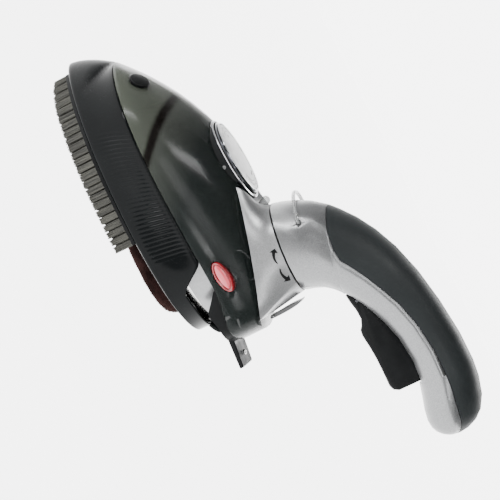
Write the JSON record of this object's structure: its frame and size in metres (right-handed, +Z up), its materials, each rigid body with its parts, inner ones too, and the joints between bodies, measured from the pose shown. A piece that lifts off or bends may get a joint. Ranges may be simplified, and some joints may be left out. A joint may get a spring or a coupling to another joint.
{
  "type": "steam iron",
  "caption": "Compact hand-held steam iron with a swivelling curved handle, steam trigger, round temperature dial, smoked water tank and clip-on lint brush.",
  "frame": {"origin": "centre of the bounding box at its base, on the surface that the lint brush stands on", "axes": "+X from toe to heel and along the handle, +Y the iron's right side, +Z up from the sole"},
  "size_m": [0.277, 0.0946, 0.1414],
  "materials": {
    "gloss_black": "polished black moulding",
    "satin_black": "satin black moulding",
    "smoked": "smoked, slightly see-through, polished",
    "silver": "satin metallic silver paint",
    "steel": "brushed",
    "aluminium": "as cast",
    "chrome": "polished",
    "brass": "plain",
    "rubber": "matte soft grip",
    "bristle": "grey-olive nylon tufts",
    "velvet": "directional pile",
    "red": "see-through red, polished",
    "clear": "clear",
    "grey": "satin dark grey",
    "ceramic": "off-white"
  },
  "bodies": {
    "head": {"soleplate": "steel", "heater_casting": "aluminium", "steam_chamber_cover": "steel", "cover_screw_front": "steel", "cover_screw_rear": "steel", "heating_element": "steel", "element_pin_left": "brass", "element_pin_right": "brass", "thermostat": "brass", "thermal_fuse": "ceramic", "terminal_block": "ceramic", "heat_shield": "aluminium", "sole_skirt": "silver", "tank_shell": "smoked", "tank_floor": "smoked", "thermostat_sleeve": "smoked", "tank_baffle": "satin_black", "dial_seat": "gloss_black", "dial_bezel": "chrome", "collar": "silver", "indicator_lens": "clear", "cord_gland": "rubber", "swivel_bush": "satin_black", "feed_tube": "clear", "heel_rest": "satin_black", "heel_panel": "silver", "heel_screw": "steel", "lever_pin": "steel"},
    "handle": {"handle_shell_left": "silver", "handle_shell_right": "silver", "handle_grip": "rubber", "swivel_spindle": "satin_black", "retaining_ring": "steel", "spring_washer": "steel", "trigger_pin": "steel", "pump_body": "satin_black", "pump_spring": "steel", "water_tube": "clear"},
    "trigger": {"trigger": "satin_black"},
    "plunger": {"pump_plunger": "ceramic"},
    "hang_loop": {"hang_loop": "clear"},
    "dial": {"dial_base": "gloss_black", "dial_ring": "chrome", "dial_face": "silver", "thermostat_shaft": "steel"},
    "release_left": {"release_button_left": "red"},
    "release_right": {"release_button_right": "red"},
    "lock_lever": {"swivel_lock_lever": "grey"},
    "fill_plug": {"fill_plug": "satin_black"},
    "lint_brush": {"brush_tray": "gloss_black", "bristle_strip": "bristle", "pad_backing": "gloss_black", "lint_pad": "velvet"}
  },
  "joints": [
    {"name": "handle_swivel", "type": "hinge", "parent": "head", "child": "handle", "pos_m": [0.0068, 0, 0.0776], "axis": [0.0785, 0, 0.9969], "range_deg": [0, 180]},
    {"name": "steam_trigger", "type": "hinge", "parent": "handle", "child": "trigger", "pos_m": [0.0489, 0, 0.1002], "axis": [0, -1, 0], "range_deg": [0, 5.5], "stiffness_Nm_per_rad": 1.6, "springref_deg": -2.86},
    {"name": "pump_stroke", "type": "slide", "parent": "handle", "child": "plunger", "axis": [0, 0, 1], "range_m": [0, 0.0045], "deforming": ["pump_spring"]},
    {"name": "temperature_dial", "type": "hinge", "parent": "head", "child": "dial", "pos_m": [-0.0499, 0, 0.0753], "axis": [-0.0523, 0, 0.9986], "range_deg": [0, 270]},
    {"name": "release_left", "type": "slide", "parent": "head", "child": "release_left", "axis": [0, 1, 0], "range_m": [0, 0.002], "stiffness_N_per_m": 400, "springref_m": -0.001},
    {"name": "release_right", "type": "slide", "parent": "head", "child": "release_right", "axis": [0, -1, 0], "range_m": [0, 0.002], "stiffness_N_per_m": 400, "springref_m": -0.001},
    {"name": "swivel_lock", "type": "hinge", "parent": "head", "child": "lock_lever", "pos_m": [0.0371, 0, 0.0546], "axis": [0, -1, 0], "range_deg": [0, 6], "stiffness_Nm_per_rad": 0.15, "springref_deg": -5.73},
    {"name": "fill_plug_pull", "type": "slide", "parent": "head", "child": "fill_plug", "axis": [-0.5338, -0.3525, 0.7686], "range_m": [0, 0.02]},
    {"name": "hang_loop_swing", "type": "hinge", "parent": "handle", "child": "hang_loop", "pos_m": [-0.00271, 0, 0.09219], "axis": [0, 1, 0], "range_deg": [0, 45]},
    {"name": "lint_brush_swing", "type": "hinge", "parent": "head", "child": "lint_brush", "pos_m": [-0.1326, 0, 0.0339], "axis": [0, 1, 0], "range_deg": [0, 25]}
  ],
  "couplings": [
    {"joint": "pump_stroke", "follows": "steam_trigger", "m_per_rad": 0.0446}
  ]
}
